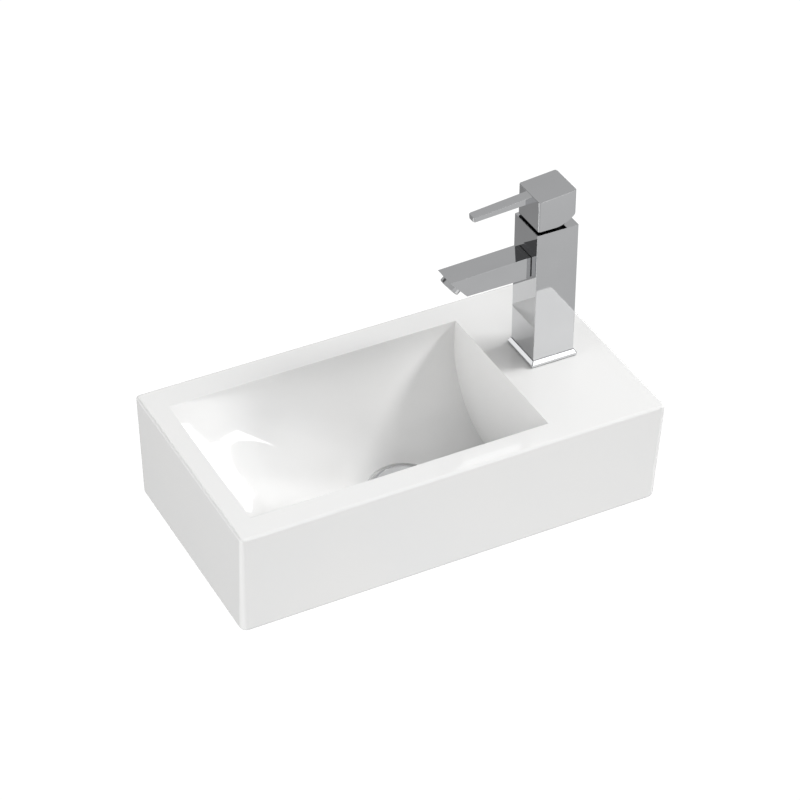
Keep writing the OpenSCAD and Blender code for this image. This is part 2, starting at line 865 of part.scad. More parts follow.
module tap_body() {
    inlet_top_z = column_z + inlet_l;
    color("silver")
    at_tap()
        difference() {
            translate([0, 0, column_z])
                linear_extrude(height = column_top - column_z)
                    polygon(square_outline(column_w, column_r, corner_steps));
            // Bore of the cartridge and thread of its nut
            translate([0, 0, seat_pocket_z]) cylinder(r = cartridge_r + seat_gap, h = column_top);
            translate([0, 0, shoulder_z]) cylinder(r = nut_r, h = column_top);
            // Mixed water out to the spout
            translate([mixed_x, 0, spout_mid_z]) cylinder(r = port_r, h = column_top - spout_mid_z);
            along_x(mixed_x, spout_mid_z) cylinder(r = outlet_r, h = column_w);
            along_x(column_w / 2 - nipple_in_column, spout_mid_z)
                cylinder(r = nipple_r + thread_gap, h = nipple_in_column + overrun);
            // Hot and cold water in from below
            for (side = [-1, 1]) {
                translate([inlet_x, side * inlet_y, column_z - overrun])
                    cylinder(r = inlet_d / 2, h = inlet_l + overrun);
                translate([port_x, side * port_y, inlet_top_z - seat_gap])
                    cylinder(r = port_r, h = shoulder_z - inlet_top_z);
            }
            // Thread of the mounting stud
            translate([stud_x, 0, column_z - overrun])
                cylinder(r = stud_d / 2 + thread_gap, h = stud_in_column + overrun);
        }
}

// Spout

module spout_section(x, l, step) {
    w = spout_w - 2 * step;
    translate([x, -w / 2, spout_under_z + step]) cube([l, w, spout_root_h - 2 * step]);
}

module spout_seal() {
    color("black")
    at_tap()
        difference() {
            spout_section(column_w / 2, spout_seal_t, neck_step + seat_gap);
            along_x(column_w / 2 - overrun, spout_mid_z)
                cylinder(r = nipple_r + seat_gap, h = spout_seal_t + 2 * overrun);
        }
}

module spout_nipple() {
    l = nipple_in_column + spout_seal_t + nipple_in_spout;
    color("goldenrod")
    at_tap()
        along_x(column_w / 2 - nipple_in_column, spout_mid_z)
            tube(nipple_r, nipple_bore_r, 0, l);
}

// Frame on the slanted end of the spout, with +Z out of the end
module at_spout_end() {
    translate([(spout_tip_x + spout_nose_x) / 2, 0, spout_under_z + spout_tip_h / 2])
        rotate([0, 180 - end_angle, 0])
            children();
}

module spout() {
    body_x = spout_root_x + neck_l;
    color("silver")
    at_tap()
        difference() {
            union() {
                spout_section(spout_root_x, neck_l + overrun, neck_step);
                translate([0, spout_w / 2, 0])
                    rotate([90, 0, 0])
                        linear_extrude(height = spout_w)
                            polygon([
                                [body_x, spout_under_z],
                                [spout_nose_x, spout_under_z],
                                [spout_tip_x, spout_under_z + spout_tip_h],
                                [body_x, spout_under_z + spout_root_h]
                            ]);
            }
            along_x(spout_root_x - overrun, spout_mid_z)
                cylinder(r = nipple_r + thread_gap, h = nipple_in_spout + overrun);
            along_x(spout_root_x, spout_mid_z)
                cylinder(r = waterway_r, h = spout_tip_x - spout_plug_end - spout_root_x);
            at_spout_end()
                translate([0, 0, -aerator_thread_l])
                    cylinder(r = aerator_thread_r + thread_gap, h = aerator_thread_l + overrun);
            at_spout_end()
                translate([0, 0, -2 * aerator_thread_l])
                    cylinder(r = waterway_r, h = 2 * aerator_thread_l);
        }
}

module aerator_housing() {
    round_r = insert_recess;
    mouth_r = aerator_d / 2 - round_r;
    color("silver")
    at_tap()
        at_spout_end()
            rotate_extrude()
                polygon(concat(
                    [[insert_r + seat_gap, -aerator_thread_l], [aerator_thread_r, -aerator_thread_l],
                     [aerator_thread_r, 0], [aerator_d / 2, 0]],
                    [for (k = [0:edge_steps])
                        let (a = 90 * k / edge_steps)
                        [mouth_r + round_r * cos(a), aerator_out - round_r + round_r * sin(a)]],
                    [[insert_r + seat_gap, aerator_out]]));
}

module aerator_insert() {
    rows = 2;
    color("gainsboro")
    at_tap()
        at_spout_end()
            difference() {
                translate([0, 0, -aerator_thread_l])
                    cylinder(r = insert_r, h = aerator_thread_l + aerator_out - insert_recess);
                for (i = [-rows:rows])
                    for (j = [-rows:rows])
                        if (abs(i + j) <= rows)
                            translate([insert_pitch * (i + j / 2), insert_pitch * j * sin(60),
                                       -aerator_thread_l - overrun])
                                cylinder(r = insert_hole_r, h = aerator_thread_l + aerator_out + overrun);
            }
}

// Cartridge

module cartridge_seals() {
    color("dimgray")
    at_tap()
        for (p = ports)
            translate([p[0], p[1], 0])
                tube(seal_ring_r - seat_gap, port_r + slide_gap, seat_pocket_z, seal_t);
}

module port_cuts(z, h) {
    for (p = ports)
        translate([p[0], p[1], z - overrun]) cylinder(r = port_r, h = h + 2 * overrun);
}

module cartridge_body() {
    color("gainsboro")
    at_tap()
        difference() {
            union() {
                translate([0, 0, cartridge_z]) cylinder(r = cartridge_r, h = cartridge_h);
                translate([0, 0, shoulder_z]) cylinder(r = neck_r, h = neck_h);
            }
            translate([0, 0, fixed_disc_z])
                cylinder(r = case_bore_r, h = shoulder_z - case_top_t - fixed_disc_z);
            translate([0, 0, fixed_disc_z]) cylinder(r = neck_r - neck_wall, h = basin_h);
            port_cuts(cartridge_z, case_floor);
        }
}

module fixed_disc() {
    color("ivory")
    at_tap()
        difference() {
            translate([0, 0, fixed_disc_z]) cylinder(r = case_bore_r - slide_gap, h = fixed_disc_t);
            port_cuts(fixed_disc_z, fixed_disc_t);
        }
}

module moving_disc() {
    color("ivory")
    at_tap()
        difference() {
            translate([moving_disc_x, 0, moving_disc_z]) cylinder(r = moving_disc_r, h = moving_disc_t);
            translate([mix_pocket_x, 0, moving_disc_z - overrun])
                cylinder(r = mix_pocket_r, h = mix_pocket_depth + overrun);
        }
}

module disc_carrier() {
    color("steelblue")
    at_tap()
        difference() {
            union() {
                translate([moving_disc_x, 0, carrier_z]) cylinder(r = moving_disc_r, h = carrier_t);
                translate([0, 0, carrier_z]) cylinder(r = carrier_hub_r, h = carrier_top_z - carrier_z);
            }
            translate([0, 0, carrier_z + carrier_t / 2]) cylinder(r = ball_r + slide_gap, h = ball_drop);
        }
}

module cartridge_swivel() {
    slot_w = stem_w + 2 * slide_gap;
    color("steelblue")
    at_tap()
        difference() {
            union() {
                translate([0, 0, swivel_z])
                    cylinder(r = swivel_flange_r, h = shoulder_z - case_top_t - slide_gap - swivel_z);
                translate([0, 0, swivel_z]) cylinder(r = swivel_neck_r, h = column_top - swivel_z);
            }
            translate([-swivel_slot / 2, -slot_w / 2, swivel_z - overrun])
                cube([swivel_slot, slot_w, basin_h]);
            translate([0, pin_l, pivot_z])
                rotate([90, 0, 0])
                    cylinder(r = pin_r, h = 2 * pin_l);
        }
}

module lever_pin() {
    color("gray")
    at_tap()
        translate([0, pin_l / 2, pivot_z])
            rotate([90, 0, 0])
                cylinder(r = pin_r, h = pin_l);
}

module cartridge_stem() {
    color("goldenrod")
    at_tap()
        difference() {
            union() {
                translate([-stem_w / 2, -stem_w / 2, pivot_z - stem_foot])
                    cube([stem_w, stem_w, stem_top_z - pivot_z + stem_foot]);
                translate([0, 0, ball_z]) cylinder(r = stem_neck_r, h = pivot_z - ball_z);
                translate([0, 0, ball_z]) sphere(r = ball_r);
            }
            translate([0, stem_w, pivot_z])
                rotate([90, 0, 0])
                    cylinder(r = pin_r + run_gap, h = 2 * stem_w);
        }
}

module cartridge_nut() {
    color("goldenrod")
    at_tap()
        difference() {
            tube(nut_r - thread_gap, neck_r + seat_gap, shoulder_z, nut_h);
            for (k = [0:1])
                rotate([0, 0, 90 * k])
                    translate([-nut_r, -nut_slot_w / 2, shoulder_z + nut_h - nut_slot_depth])
                        cube([2 * nut_r, nut_slot_w, nut_h]);
        }
}

module cartridge_dome() {
    foot_z = shoulder_z + nut_h;
    foot_top_z = foot_z + dome_foot_h;
    inner_r = dome_r - dome_t;
    rise = foot_top_z - pivot_z;
    outer_start = asin(rise / dome_r);
    outer_end = acos(dome_mouth_r / dome_r);
    inner_start = asin(rise / inner_r);
    inner_end = acos(dome_mouth_r / inner_r);
    steps = 6;
    outer = [for (k = [0:steps]) let (a = outer_start + (outer_end - outer_start) * k / steps)
        [dome_r * cos(a), pivot_z + dome_r * sin(a)]];
    inner = [for (k = [steps:-1:0]) let (a = inner_start + (inner_end - inner_start) * k / steps)
        [inner_r * cos(a), pivot_z + inner_r * sin(a)]];
    foot = [[inner_r * cos(inner_start), foot_z], [nut_r - 2 * seat_gap, foot_z],
            [nut_r - 2 * seat_gap, foot_top_z]];
    color("silver")
    at_tap() rotate_extrude($fn = 64) polygon(concat(foot, outer, inner));
}

// Handle

// Side view of the block, with its sloping top and the scoop under its back
function block_side() =
    let (reach = asin((block_half + scoop_x) / scoop_r))
    concat(
        [[block_half, block_z]],
        [[block_half, block_z + block_front_h]],
        [[-block_half, block_z + block_front_h + 2 * block_rise]],
        [for (k = [scoop_steps:-1:0])
            let (a = reach * k / scoop_steps)
            [scoop_x - scoop_r * sin(a), block_z + scoop_r * (1 - cos(a))]]);

module block() {
    intersection() {
        translate([0, block_half, 0])
            rotate([90, 0, 0])
                linear_extrude(height = block_w) polygon(block_side());
        translate([0, 0, block_z])
            linear_extrude(height = 2 * block_front_h)
                polygon(square_outline(block_w, block_r, corner_steps));
    }
}

// One section of the lever, with its top edges bevelled
function lever_ring(x, w, t) = [
    [x, w / 2, -t],
    [x, w / 2, -lever_bevel],
    [x, w / 2 - lever_bevel, 0],
    [x, -w / 2 + lever_bevel, 0],
    [x, -w / 2, -lever_bevel],
    [x, -w / 2, -t]
];

module lever() {
    tip_inset = tip_r / 2;
    translate([block_half, 0, block_z + block_front_h])
        rotate([0, top_slope, 0])
            loft([
                lever_ring(-block_r - overrun, lever_w_root, lever_t_root),
                lever_ring(lever_l - tip_r, lever_w_tip, lever_t_tip),
                lever_ring(lever_l - tip_r / 3, lever_w_tip - tip_inset, lever_t_tip),
                lever_ring(lever_l, lever_w_tip - 3 * tip_inset, lever_t_tip - lever_bevel / 2)
            ]);
}

module handle() {
    socket_w = stem_w + 2 * seat_gap;
    color("silver")
    at_tap()
        difference() {
            union() {
                block();
                lever();
            }
            translate([-cavity_half, -cavity_half, block_z - overrun])
                cube([2 * cavity_half, 2 * cavity_half, cavity_top_z - block_z + overrun]);
            translate([-socket_w / 2, -socket_w / 2, block_z])
                cube([socket_w, socket_w, stem_top_z - block_z]);
            translate([-stem_w / 2, 0, screw_z])
                rotate([0, -90, 0])
                    cylinder(r = screw_r + thread_gap, h = block_half);
            translate([-block_half + cover_t, 0, screw_z])
                rotate([0, -90, 0])
                    cylinder(r = cover_r + seat_gap, h = block_half);
        }
}

module handle_screw() {
    color("gray")
    at_tap()
        translate([-stem_w / 2, 0, screw_z])
            rotate([0, -90, 0])
                difference() {
                    cylinder(r = screw_r, h = screw_l);
                    translate([0, 0, screw_l - screw_key_depth])
                        hexagon_prism(screw_key_af, screw_key_depth + overrun);
                }
}

module screw_cover() {
    color("gainsboro")
    at_tap()
        translate([-block_half + cover_t, 0, screw_z])
            rotate([0, -90, 0]) {
                cylinder(r = cover_r, h = cover_t);
                translate([0, 0, cover_t])
                    cylinder(r1 = cover_r, r2 = cover_r - cover_crown, h = cover_crown);
            }
}

// Tap fixing

module mounting_stud() {
    color("gray")
    at_tap()
        translate([stud_x, 0, -stud_below])
            cylinder(r = stud_d / 2, h = stud_below + column_z + stud_in_column);
}

// C-shaped washer, open at the back so that the hoses pass
module horseshoe(z, t) {
    difference() {
        translate([0, 0, z]) cylinder(r = horseshoe_d / 2, h = t);
        translate([stud_x, 0, z - overrun]) cylinder(r = stud_d / 2 + seat_gap, h = t + 2 * overrun);
        translate([-horseshoe_d + horseshoe_slot_x, -horseshoe_slot_w / 2, z - overrun])
            cube([horseshoe_d, horseshoe_slot_w, t + 2 * overrun]);
    }
}

module horseshoe_rubber() {
    color("dimgray")
    at_tap() horseshoe(-deck_t - horseshoe_rubber_t, horseshoe_rubber_t);
}

module horseshoe_plate() {
    color("gray")
    at_tap() horseshoe(-deck_t - horseshoe_rubber_t - horseshoe_plate_t, horseshoe_plate_t);
}

module stud_nut() {
    color("goldenrod")
    at_tap()
        translate([stud_x, 0, -deck_t - horseshoe_rubber_t - horseshoe_plate_t - stud_nut_h])
            chamfered_nut(stud_nut_af, stud_d / 2 + thread_gap, stud_nut_h);
}

basin();
waste_body();
waste_top_gasket();
waste_taper_gasket();
waste_slip_washer();
waste_backnut();
click_barrel();
plug_spring();
plug_stem();
plug_cap();
plug_seal();
tap_base_gasket();
tap_base_plate();
tap_body();
spout_seal();
spout_nipple();
spout();
aerator_housing();
aerator_insert();
cartridge_seals();
cartridge_body();
fixed_disc();
moving_disc();
disc_carrier();
cartridge_swivel();
lever_pin();
cartridge_stem();
cartridge_nut();
cartridge_dome();
handle();
handle_screw();
screw_cover();
mounting_stud();
horseshoe_rubber();
horseshoe_plate();
stud_nut();
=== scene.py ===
# Wall-hung ceramic hand basin with a square chrome mixer tap and a push waste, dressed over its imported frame.
import json
import math
import bmesh
import bpy
from mathutils import Matrix, Vector

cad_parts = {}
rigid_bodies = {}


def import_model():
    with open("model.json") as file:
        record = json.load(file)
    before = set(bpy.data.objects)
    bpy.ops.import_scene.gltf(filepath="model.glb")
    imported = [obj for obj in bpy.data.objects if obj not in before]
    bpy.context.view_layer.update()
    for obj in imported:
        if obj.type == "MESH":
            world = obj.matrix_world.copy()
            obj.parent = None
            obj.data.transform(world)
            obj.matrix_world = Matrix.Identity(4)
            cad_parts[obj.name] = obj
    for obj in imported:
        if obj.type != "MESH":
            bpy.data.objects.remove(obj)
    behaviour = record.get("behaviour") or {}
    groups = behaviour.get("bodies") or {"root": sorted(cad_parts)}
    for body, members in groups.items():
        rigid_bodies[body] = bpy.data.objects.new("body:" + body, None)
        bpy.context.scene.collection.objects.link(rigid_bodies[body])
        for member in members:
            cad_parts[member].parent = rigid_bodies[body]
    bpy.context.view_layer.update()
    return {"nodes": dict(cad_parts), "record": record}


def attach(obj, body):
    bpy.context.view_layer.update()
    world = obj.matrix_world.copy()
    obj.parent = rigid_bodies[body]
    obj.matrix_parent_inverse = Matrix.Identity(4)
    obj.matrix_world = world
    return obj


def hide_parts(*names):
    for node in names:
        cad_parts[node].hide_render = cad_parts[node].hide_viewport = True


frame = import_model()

print("frame loaded, nodes:", len(frame["nodes"]))


def newMaterial(name):
    mat = bpy.data.materials.new(name)
    mat.use_nodes = True
    nodes, links = mat.node_tree.nodes, mat.node_tree.links
    return mat, nodes, links, nodes["Principled BSDF"]


def noiseAt(nodes, links, coords, scale, detail=3.0, roughness=0.5):
    noise = nodes.new("ShaderNodeTexNoise")
    noise.inputs["Scale"].default_value = scale
    noise.inputs["Detail"].default_value = detail
    noise.inputs["Roughness"].default_value = roughness
    links.new(coords, noise.inputs["Vector"])
    return noise.outputs["Fac"]


def rampBetween(nodes, links, fac, low, high, start=0.3, end=0.7):
    ramp = nodes.new("ShaderNodeValToRGB")
    ramp.color_ramp.elements[0].position = start
    ramp.color_ramp.elements[1].position = end
    ramp.color_ramp.elements[0].color = (*low, 1.0)
    ramp.color_ramp.elements[1].color = (*high, 1.0)
    links.new(fac, ramp.inputs["Fac"])
    return ramp.outputs["Color"]


def rangeOf(nodes, links, fac, low, high):
    node = nodes.new("ShaderNodeMapRange")
    node.inputs["To Min"].default_value = low
    node.inputs["To Max"].default_value = high
    links.new(fac, node.inputs["Value"])
    return node.outputs["Result"]


def bumpFrom(nodes, links, height, strength, distance):
    bump = nodes.new("ShaderNodeBump")
    bump.inputs["Strength"].default_value = strength
    bump.inputs["Distance"].default_value = distance
    links.new(height, bump.inputs["Height"])
    return bump.outputs["Normal"]


glaze = {"colour": (0.885, 0.887, 0.883), "warm": (0.90, 0.897, 0.888), "roughness": 0.07, "coat": 0.6,
         "coatRoughness": 0.03, "ior": 1.5, "spread": (0.8, 1.3), "cloudScale": 9.0, "fineScale": 60.0,
         "rippleScale": 22.0, "rippleStrength": 0.35, "ripple": 0.00008}


def glazeMaterial():
    mat, nodes, links, shader = newMaterial("whiteGlaze")
    place = nodes.new("ShaderNodeTexCoord").outputs["Object"]
    slow = noiseAt(nodes, links, place, glaze["cloudScale"], 2.0)
    links.new(rampBetween(nodes, links, slow, glaze["colour"], glaze["warm"]), shader.inputs["Base Color"])
    fine = noiseAt(nodes, links, place, glaze["fineScale"], 2.0)
    smooth, dull = (glaze["roughness"] * share for share in glaze["spread"])
    links.new(rangeOf(nodes, links, fine, smooth, dull), shader.inputs["Roughness"])
    shader.inputs["IOR"].default_value = glaze["ior"]
    shader.inputs["Coat Weight"].default_value = glaze["coat"]
    shader.inputs["Coat Roughness"].default_value = glaze["coatRoughness"]
    ripple = noiseAt(nodes, links, place, glaze["rippleScale"], 1.5)
    waves = bumpFrom(nodes, links, ripple, glaze["rippleStrength"], glaze["ripple"])
    links.new(waves, shader.inputs["Normal"])
    return mat


chrome = {"colour": (0.71, 0.716, 0.728), "shade": 0.97, "roughness": 0.035, "spread": (0.7, 1.6),
          "toneScale": 30.0, "smearScale": 140.0, "waveScale": 45.0, "waveStrength": 0.25, "wave": 0.00002}


def chromeMaterial():
    mat, nodes, links, shader = newMaterial("polishedChrome")
    place = nodes.new("ShaderNodeTexCoord").outputs["Object"]
    tone = noiseAt(nodes, links, place, chrome["toneScale"], 3.0)
    low = tuple(c * chrome["shade"] for c in chrome["colour"])
    links.new(rampBetween(nodes, links, tone, low, chrome["colour"]), shader.inputs["Base Color"])
    shader.inputs["Metallic"].default_value = 1.0
    smear = noiseAt(nodes, links, place, chrome["smearScale"], 4.0, 0.6)
    smooth, dull = (chrome["roughness"] * share for share in chrome["spread"])
    links.new(rangeOf(nodes, links, smear, smooth, dull), shader.inputs["Roughness"])
    wave = noiseAt(nodes, links, place, chrome["waveScale"], 1.0)
    waves = bumpFrom(nodes, links, wave, chrome["waveStrength"], chrome["wave"])
    links.new(waves, shader.inputs["Normal"])
    return mat


metal = {"shade": 0.82, "spread": (0.8, 1.3), "toneScale": 55.0, "turningScale": 600.0,
         "turningDepth": 0.0003}


def metalMaterial(name, colour, roughness, turned=0.0):
    mat, nodes, links, shader = newMaterial(name)
    place = nodes.new("ShaderNodeTexCoord").outputs["Object"]
    tone = noiseAt(nodes, links, place, metal["toneScale"], 4.0)
    low = tuple(c * metal["shade"] for c in colour)
    links.new(rampBetween(nodes, links, tone, low, colour), shader.inputs["Base Color"])
    shader.inputs["Metallic"].default_value = 1.0
    smooth, dull = (roughness * share for share in metal["spread"])
    links.new(rangeOf(nodes, links, tone, smooth, dull), shader.inputs["Roughness"])
    wave = nodes.new("ShaderNodeTexWave")
    wave.bands_direction = "Z"
    wave.inputs["Scale"].default_value = metal["turningScale"]
    links.new(place, wave.inputs["Vector"])
    turning = bumpFrom(nodes, links, wave.outputs["Fac"], turned, metal["turningDepth"])
    links.new(turning, shader.inputs["Normal"])
    return mat


soft = {"shade": 0.85, "spread": (0.85, 1.2), "toneScale": 80.0, "grainDepth": 0.0002}


def softMaterial(name, colour, roughness, grain=400.0, bump=0.15):
    mat, nodes, links, shader = newMaterial(name)
    place = nodes.new("ShaderNodeTexCoord").outputs["Object"]
    tone = noiseAt(nodes, links, place, soft["toneScale"], 4.0)
    low = tuple(c * soft["shade"] for c in colour)
    links.new(rampBetween(nodes, links, tone, low, colour), shader.inputs["Base Color"])
    fine = noiseAt(nodes, links, place, grain, 3.0)
    smooth, dull = (min(roughness * share, 1.0) for share in soft["spread"])
    links.new(rangeOf(nodes, links, fine, smooth, dull), shader.inputs["Roughness"])
    links.new(bumpFrom(nodes, links, fine, bump, soft["grainDepth"]), shader.inputs["Normal"])
    return mat


whiteGlaze = glazeMaterial()
polishedChrome = chromeMaterial()
# painted shade: a near-black finish for the handle's underside and cavity and the cartridge dome, so the gap
# under the handle reads dark
paintedShadeCasting = metalMaterial("paintedShadeCasting", (0.045, 0.045, 0.048), 0.55)
finishes = {
    "ceramic": whiteGlaze,
    "chrome": polishedChrome,
    "brass": metalMaterial("turnedBrass", (0.78, 0.58, 0.28), 0.28, 0.35),
    "steel": metalMaterial("zincSteel", (0.62, 0.63, 0.64), 0.32, 0.25),
    "rubber": softMaterial("blackRubber", (0.03, 0.03, 0.032), 0.6),
    "disc_ceramic": softMaterial("groundCeramic", (0.86, 0.83, 0.76), 0.3, 200.0, 0.05),
    "white_plastic": softMaterial("whitePlastic", (0.78, 0.79, 0.8), 0.4),
    "blue_plastic": softMaterial("bluePlastic", (0.16, 0.3, 0.48), 0.42),
}
slotOf = {s["node"]: s["material_slot"] for s in frame["record"]["subparts"]}
bodyOf = {n: b for b, names in frame["record"]["behaviour"]["bodies"].items() for n in names}
for nodeName, obj in frame["nodes"].items():
    obj.data.materials.clear()
    obj.data.materials.append(finishes[slotOf[nodeName]])
# painted shade: the cartridge dome is made near-black so the gap under the handle reads dark
frame["nodes"]["cartridge_dome"].data.materials[0] = paintedShadeCasting
print("finishes assigned")


def meshObject(name, bm, material, smoothAngle=35.0):
    bmesh.ops.recalc_face_normals(bm, faces=bm.faces)
    mesh = bpy.data.meshes.new(name)
    bm.to_mesh(mesh)
    bm.free()
    for poly in mesh.polygons:
        poly.use_smooth = True
    mesh.set_sharp_from_angle(angle=math.radians(smoothAngle))
    obj = bpy.data.objects.new(name, mesh)
    bpy.context.scene.collection.objects.link(obj)
    mesh.materials.append(material)
    return obj


def applyModifiers(obj):
    depsgraph = bpy.context.evaluated_depsgraph_get()
    baked = bpy.data.meshes.new_from_object(obj.evaluated_get(depsgraph))
    obj.modifiers.clear()
    obj.data = baked


def addBevel(obj, width, segments, angle=30.0, byWeight=False):
    bevel = obj.modifiers.new("edges", "BEVEL")
    bevel.width = width
    bevel.segments = segments
    bevel.limit_method = "WEIGHT" if byWeight else "ANGLE"
    bevel.angle_limit = math.radians(angle)
    bevel.miter_outer = "MITER_ARC"
    bevel.use_clamp_overlap = True


def addWeighted(obj):
    weighted = obj.modifiers.new("normals", "WEIGHTED_NORMAL")
    weighted.keep_sharp = True
    weighted.weight = 60


cleaning = {"merge": 2e-6, "weld": 1e-6, "near": 2e-5, "atRim": 1e-5, "flatAngle": 0.6, "sharpAngle": 50.0}


def withoutSlivers(obj):  # many-sided faces are split, and faces too thin to have an area go
    bm = bmesh.new()
    bm.from_mesh(obj.data)
    bmesh.ops.triangulate(bm, faces=[face for face in bm.faces if len(face.verts) > 4])
    bmesh.ops.dissolve_degenerate(bm, dist=cleaning["merge"], edges=bm.edges)
    bm.to_mesh(obj.data)
    bm.free()


def cutWith(obj, tool):
    cut = obj.modifiers.new("cut", "BOOLEAN")
    cut.operation = "DIFFERENCE"
    cut.solver = "EXACT"
    cut.object = tool
    applyModifiers(obj)
    bpy.data.objects.remove(tool, do_unlink=True)


def cylinderTool(name, radius, low, high, x, y, along="z", sides=96):
    bm = bmesh.new()
    bmesh.ops.create_cone(bm, cap_ends=True, segments=sides, radius1=radius, radius2=radius, depth=high - low)
    turn = Matrix.Rotation(math.radians(90), 4, "X") if along == "y" else Matrix.Identity(4)
    centre = Vector((x, (low + high) / 2, y)) if along == "y" else Vector((x, y, (low + high) / 2))
    bmesh.ops.transform(bm, matrix=Matrix.Translation(centre) @ turn, verts=bm.verts)
    return meshObject(name, bm, whiteGlaze)


def lathe(name, profile, material, axis=Matrix.Identity(4), sides=128, smoothAngle=40.0):
    bm = bmesh.new()
    rings = []
    for radius, z in profile:
        if radius < 1e-7:  # a point on the axis
            rings.append([bm.verts.new((0, 0, z))])
        else:
            rings.append([bm.verts.new((radius * math.cos(2 * math.pi * k / sides),
                                        radius * math.sin(2 * math.pi * k / sides), z))
                          for k in range(sides)])
    closed = rings + ([rings[0]] if len(rings[0]) > 1 and len(rings[-1]) > 1 else [])
    for lower, upper in zip(closed, closed[1:]):
        for k in range(sides):
            n = (k + 1) % sides
            if len(lower) == 1:
                bm.faces.new((lower[0], upper[n], upper[k]))
            elif len(upper) == 1:
                bm.faces.new((lower[k], lower[n], upper[0]))
            else:
                bm.faces.new((lower[k], lower[n], upper[n], upper[k]))
    bmesh.ops.transform(bm, matrix=axis, verts=bm.verts)
    return meshObject(name, bm, material, smoothAngle)


def arcPoints(cx, cy, radius, start, end, steps):
    angles = [math.radians(start + (end - start) * k / steps) for k in range(steps + 1)]
    return [(cx + radius * math.cos(a), cy + radius * math.sin(a)) for a in angles]


def dressed(nodeName, width, segments, angle):
    bm = bmesh.new()
    bm.from_mesh(frame["nodes"][nodeName].data)
    bmesh.ops.remove_doubles(bm, verts=bm.verts, dist=cleaning["merge"])
    bmesh.ops.dissolve_limit(bm, angle_limit=math.radians(cleaning["flatAngle"]), verts=bm.verts,
                             edges=bm.edges)
    obj = meshObject(nodeName + "Finished", bm, finishes[slotOf[nodeName]])
    addBevel(obj, width, segments, angle)
    applyModifiers(obj)
    withoutSlivers(obj)
    obj.data.set_sharp_from_angle(angle=math.radians(cleaning["sharpAngle"]))
    addWeighted(obj)
    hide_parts(nodeName)
    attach(obj, bodyOf[nodeName])


basin = {"length": 0.455, "width": 0.250, "height": 0.120, "low": -0.060, "endDraft": 0.001,
         "frontDraft": 0.008, "cornerTop": 0.0045, "cornerBottom": 0.008, "edgeTop": 0.003,
         "edgeBottom": 0.005, "wall": 0.011, "deck": 0.014, "rimRound": 0.0022, "creaseRound": 0.0012,
         "leastCorner": 0.0008, "rimMargin": 0.012, "creaseEnd": 0.004, "creaseAngle": 0.35,
         "sharpAngle": 38.0}
bowl = {"left": 0.022, "right": 0.117, "front": 0.027, "back": 0.032, "depth": 0.092, "deepLine": 0.140,
        "lean": 0.15, "frontPower": 2.5, "drainX": 0.222, "drainY": 0.143, "wall": 0.011,
        "rampWall": 0.0165, "seatRadius": 0.036, "seatFade": 0.028, "seatDrop": 0.003,
        "seatThick": 0.013, "seatReach": 0.046, "holeRadius": 0.023, "hollowStep": 0.001}
holes = {"tapRadius": 0.0175, "tapX": 0.1652, "tapY": -0.113, "fixingRadius": 0.007, "fixingSpacing": 0.2}
spare = 0.001  # how far a cutting tool stands past the surface it cuts

rimZ = basin["low"] + basin["height"]
floorZ = rimZ - bowl["depth"]
bowlLeft = -basin["length"] / 2 + bowl["left"]
bowlRight = basin["length"] / 2 - bowl["right"]
deepY = -bowl["deepLine"]
drainX = -basin["length"] / 2 + bowl["drainX"]
drainY = -bowl["drainY"]
seatZ = floorZ - bowl["seatDrop"]
seatUnderZ = seatZ - bowl["seatThick"]


# Each row across the bowl: a superellipse towards the front, an ellipse towards the back
def rowShare(angle):
    power = bowl["frontPower"] if angle < 0 else 2.0
    s, c = abs(math.sin(math.radians(angle))), abs(math.cos(math.radians(angle)))
    return math.copysign(s ** (2 / power), angle), (0.0 if c < 1e-9 else c ** (2 / power))


# How deep the bowl is along its length, from the left rim at 0 to the drain at 1
def rampShare(u):
    t = min(max(u, 0.0), 1.0)
    return t + t * t - t * t * t


# Level round the waste's seat, then fading into the bowl
def blended(x, y, z):
    t = (math.hypot(x - drainX, y - drainY) - bowl["seatRadius"]) / bowl["seatFade"]
    t = min(max(t, 0.0), 1.0)
    return floorZ + (z - floorZ) * t * t * (3 - 2 * t)


def roundedRing(x0, y0, x1, y1, radius, steps=8):
    points = []
    for cx, cy, start in ((x1 - radius, y0 + radius, 270), (x1 - radius, y1 - radius, 0),
                          (x0 + radius, y1 - radius, 90), (x0 + radius, y0 + radius, 180)):
        points += arcPoints(cx, cy, radius, start, start + 90, steps)
    return points


def slabRing(h, inset):
    lean = 1 - h / basin["height"]
    radius = basin["cornerTop"] + (basin["cornerBottom"] - basin["cornerTop"]) * lean - inset
    half = basin["length"] / 2 - basin["endDraft"] * lean - inset
    return roundedRing(-half, -basin["width"] + basin["frontDraft"] * lean + inset, half, -inset,
                       max(radius, basin["leastCorner"]))


